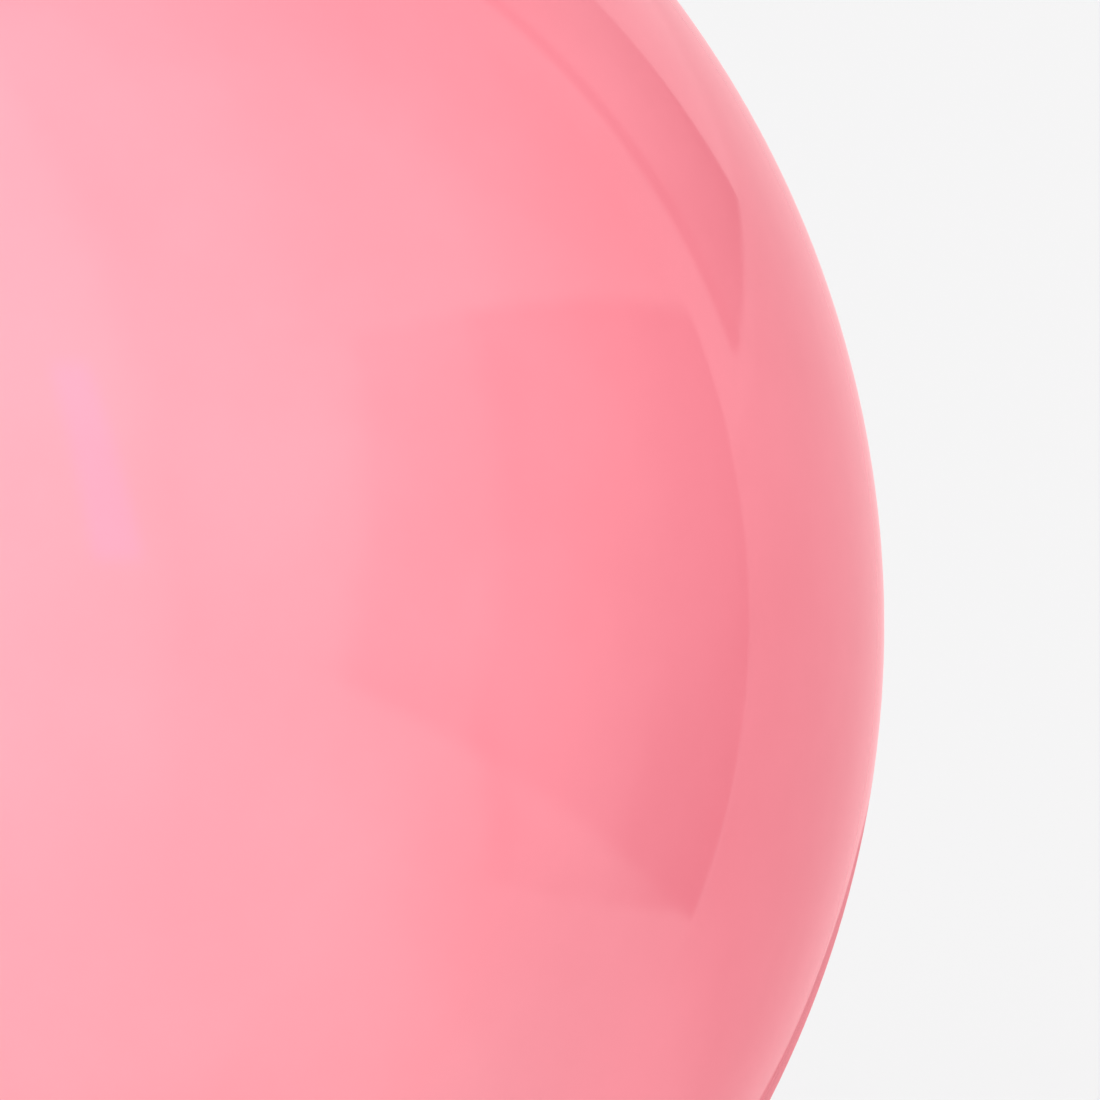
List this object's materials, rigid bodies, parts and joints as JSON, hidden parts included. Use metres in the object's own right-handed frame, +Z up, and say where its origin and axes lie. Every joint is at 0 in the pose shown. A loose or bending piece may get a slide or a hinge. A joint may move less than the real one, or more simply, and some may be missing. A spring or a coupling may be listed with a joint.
{
  "type": "exercise ball",
  "caption": "Round inflatable exercise ball with a smooth glossy vinyl skin, a moulded-in valve seat and a pull-out plug.",
  "frame": {"origin": "middle of the flat that the ball rests on", "axes": "+Z up through the centre of the ball; -X out of the ball along the axis of the valve"},
  "size_m": [0.65, 0.6498, 0.6486],
  "materials": {
    "skin": "high gloss vinyl",
    "seat": "satin soft vinyl",
    "plug": "satin"
  },
  "bodies": {
    "ball": {"ball_skin": "skin", "valve_seat": "seat"},
    "plug": {"valve_plug": "plug"}
  },
  "joints": [
    {"name": "plug_pull", "type": "slide", "parent": "ball", "child": "plug", "axis": [-1, 0, 0], "range_m": [0, 0.03]}
  ]
}
